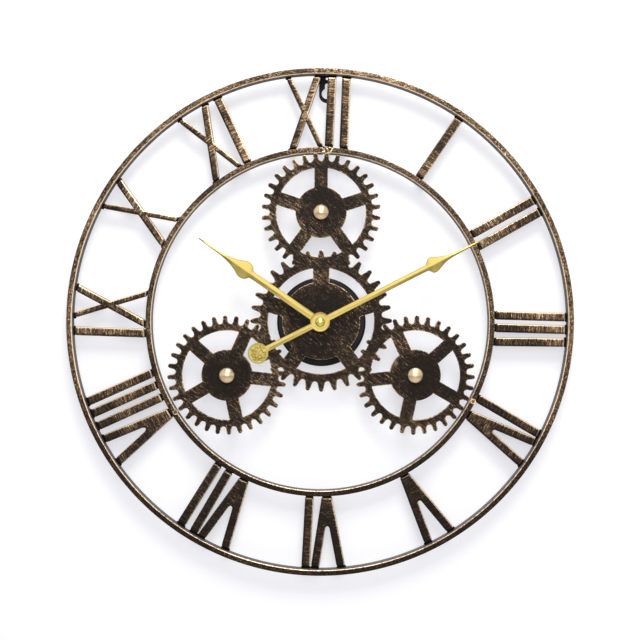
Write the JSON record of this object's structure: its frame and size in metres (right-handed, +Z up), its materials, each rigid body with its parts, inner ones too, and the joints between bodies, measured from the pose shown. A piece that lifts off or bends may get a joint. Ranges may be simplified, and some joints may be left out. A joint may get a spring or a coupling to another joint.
{
  "type": "skeleton wall clock",
  "caption": "Open metal wall clock: two tube rings with welded Roman numerals, a cut gear plate with domed bosses, two gold hands and a quartz movement in a round housing.",
  "frame": {"origin": "top of the hanger's keyhole slot, where the nail bears, at the middle of the hanger plate's thickness", "axes": "+Z up on the wall, +X to the right seen from the front, +Y into the wall; the dial faces -Y"},
  "size_m": [0.6, 0.0415, 0.6],
  "materials": {
    "bronzed_iron": "dark brown bronzed coat, dry brushed with bronze, satin",
    "hand_gold": "gold paint, satin",
    "boss_brass": "polished, copper gold",
    "cap_brass": "polished",
    "hanger_black": "black paint",
    "case_black": "moulded, fine grain",
    "gasket_rubber": "matt",
    "turned_brass": "turned",
    "gear_plastic": "moulded acetal",
    "magnet_grey": "sintered",
    "plain_steel": "plain",
    "copper_winding": "enamelled wire",
    "board_green": "solder mask",
    "cell_wrap": "printed sleeve left plain"
  },
  "bodies": {
    "clock_frame": {"outer_ring": "bronzed_iron", "inner_ring": "bronzed_iron", "numeral_1_bar_1": "bronzed_iron", "numeral_2_bar_1": "bronzed_iron", "numeral_2_bar_2": "bronzed_iron", "numeral_3_bar_1": "bronzed_iron", "numeral_3_bar_2": "bronzed_iron", "numeral_3_bar_3": "bronzed_iron", "numeral_4_bar_1": "bronzed_iron", "numeral_4_vee": "bronzed_iron", "numeral_5_vee": "bronzed_iron", "numeral_6_bar_1": "bronzed_iron", "numeral_6_vee": "bronzed_iron", "numeral_7_bar_1": "bronzed_iron", "numeral_7_bar_2": "bronzed_iron", "numeral_7_vee": "bronzed_iron", "numeral_8_bar_1": "bronzed_iron", "numeral_8_bar_2": "bronzed_iron", "numeral_8_bar_3": "bronzed_iron", "numeral_8_vee": "bronzed_iron", "numeral_9_bar_1": "bronzed_iron", "numeral_9_cross": "bronzed_iron", "numeral_10_cross": "bronzed_iron", "numeral_11_bar_1": "bronzed_iron", "numeral_11_cross": "bronzed_iron", "numeral_12_bar_1": "bronzed_iron", "numeral_12_bar_2": "bronzed_iron", "numeral_12_cross": "bronzed_iron", "gear_plate": "bronzed_iron", "gear_boss_1": "boss_brass", "gear_boss_2": "boss_brass", "gear_boss_3": "boss_brass", "movement_housing": "bronzed_iron", "hanger_plate": "hanger_black", "front_case": "case_black", "rear_case": "case_black", "rubber_gasket": "gasket_rubber", "shaft_washer": "turned_brass", "shaft_nut": "turned_brass", "stator": "plain_steel", "coil": "copper_winding", "circuit_board": "board_green", "crystal": "plain_steel", "battery": "cell_wrap", "battery_contact_positive": "plain_steel", "battery_contact_negative": "plain_steel"},
    "minute_work": {"minute_pipe": "plain_steel", "minute_hand": "hand_gold", "cap_nut": "cap_brass"},
    "hour_work": {"hour_wheel": "gear_plastic", "hour_hand": "hand_gold"},
    "idler": {"idler_wheel": "gear_plastic"},
    "setting": {"set_knob": "case_black"},
    "rotor_arbor": {"rotor": "magnet_grey"},
    "intermediate_arbor": {"intermediate_wheel": "gear_plastic"},
    "seconds_arbor": {"seconds_wheel": "gear_plastic"},
    "third_arbor": {"third_wheel": "gear_plastic"},
    "centre_arbor": {"centre_wheel": "turned_brass"}
  },
  "joints": [
    {"name": "minute_turn", "type": "hinge", "parent": "clock_frame", "child": "minute_work", "pos_m": [-0.0068, 0, -0.285], "axis": [0, 1, 0], "continuous": true},
    {"name": "hour_turn", "type": "hinge", "parent": "clock_frame", "child": "hour_work", "pos_m": [-0.0068, 0, -0.285], "axis": [0, 1, 0], "continuous": true},
    {"name": "idler_turn", "type": "hinge", "parent": "clock_frame", "child": "idler", "pos_m": [-0.01432, 0, -0.28226], "axis": [0, 1, 0], "continuous": true},
    {"name": "setting_turn", "type": "hinge", "parent": "clock_frame", "child": "setting", "pos_m": [-0.02224, 0, -0.28115], "axis": [0, 1, 0], "continuous": true},
    {"name": "rotor_turn", "type": "hinge", "parent": "clock_frame", "child": "rotor_arbor", "pos_m": [-0.00412, 0, -0.26687], "axis": [0, 1, 0], "continuous": true},
    {"name": "intermediate_turn", "type": "hinge", "parent": "clock_frame", "child": "intermediate_arbor", "pos_m": [-0.00862, 0, -0.27466], "axis": [0, 1, 0], "continuous": true},
    {"name": "seconds_turn", "type": "hinge", "parent": "clock_frame", "child": "seconds_arbor", "pos_m": [-0.0068, 0, -0.285], "axis": [0, 1, 0], "continuous": true},
    {"name": "third_turn", "type": "hinge", "parent": "clock_frame", "child": "third_arbor", "pos_m": [0.00278, 0, -0.28151], "axis": [0, 1, 0], "continuous": true},
    {"name": "centre_turn", "type": "hinge", "parent": "clock_frame", "child": "centre_arbor", "pos_m": [-0.0068, 0, -0.285], "axis": [0, 1, 0], "continuous": true}
  ],
  "couplings": [
    {"joint": "hour_turn", "follows": "minute_turn", "ratio": 0.083333},
    {"joint": "idler_turn", "follows": "minute_turn", "ratio": -0.33333},
    {"joint": "setting_turn", "follows": "minute_turn", "ratio": 1},
    {"joint": "intermediate_turn", "follows": "rotor_turn", "ratio": -0.2},
    {"joint": "seconds_turn", "follows": "rotor_turn", "ratio": 0.033333},
    {"joint": "third_turn", "follows": "rotor_turn", "ratio": -0.0044444},
    {"joint": "centre_turn", "follows": "rotor_turn", "ratio": 0.00055556}
  ]
}
